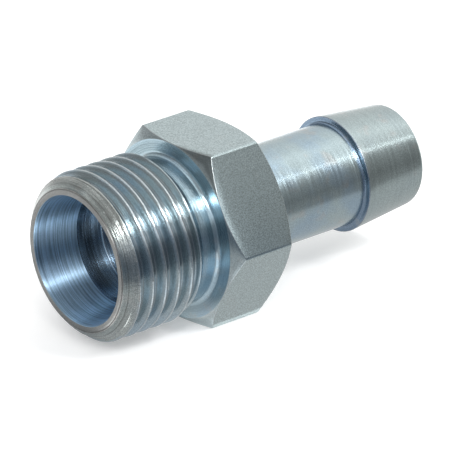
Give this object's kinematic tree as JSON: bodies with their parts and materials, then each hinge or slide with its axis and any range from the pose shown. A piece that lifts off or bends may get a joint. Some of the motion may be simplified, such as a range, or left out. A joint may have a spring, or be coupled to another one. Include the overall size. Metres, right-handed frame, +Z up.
{
  "type": "hose barb tail for tube fitting",
  "caption": "Zinc-plated steel hose tail with a male threaded stud, 24-degree cone mouth, hexagon and single-barb hose end.",
  "frame": {"origin": "on the fitting's axis, in the threaded end's face, at the middle of the 24-degree cone's mouth", "axes": "+X along the axis from the threaded end to the hose end, +Z up with the part lying on one flat of its hexagon, +Y towards a corner of the hexagon"},
  "size_m": [0.0374, 0.0196, 0.017],
  "materials": {
    "plated_steel": "bright zinc plating with a bluish clear passivation over turned steel"
  },
  "bodies": {
    "root": {"hose_tail": "plated_steel"}
  },
  "joints": []
}
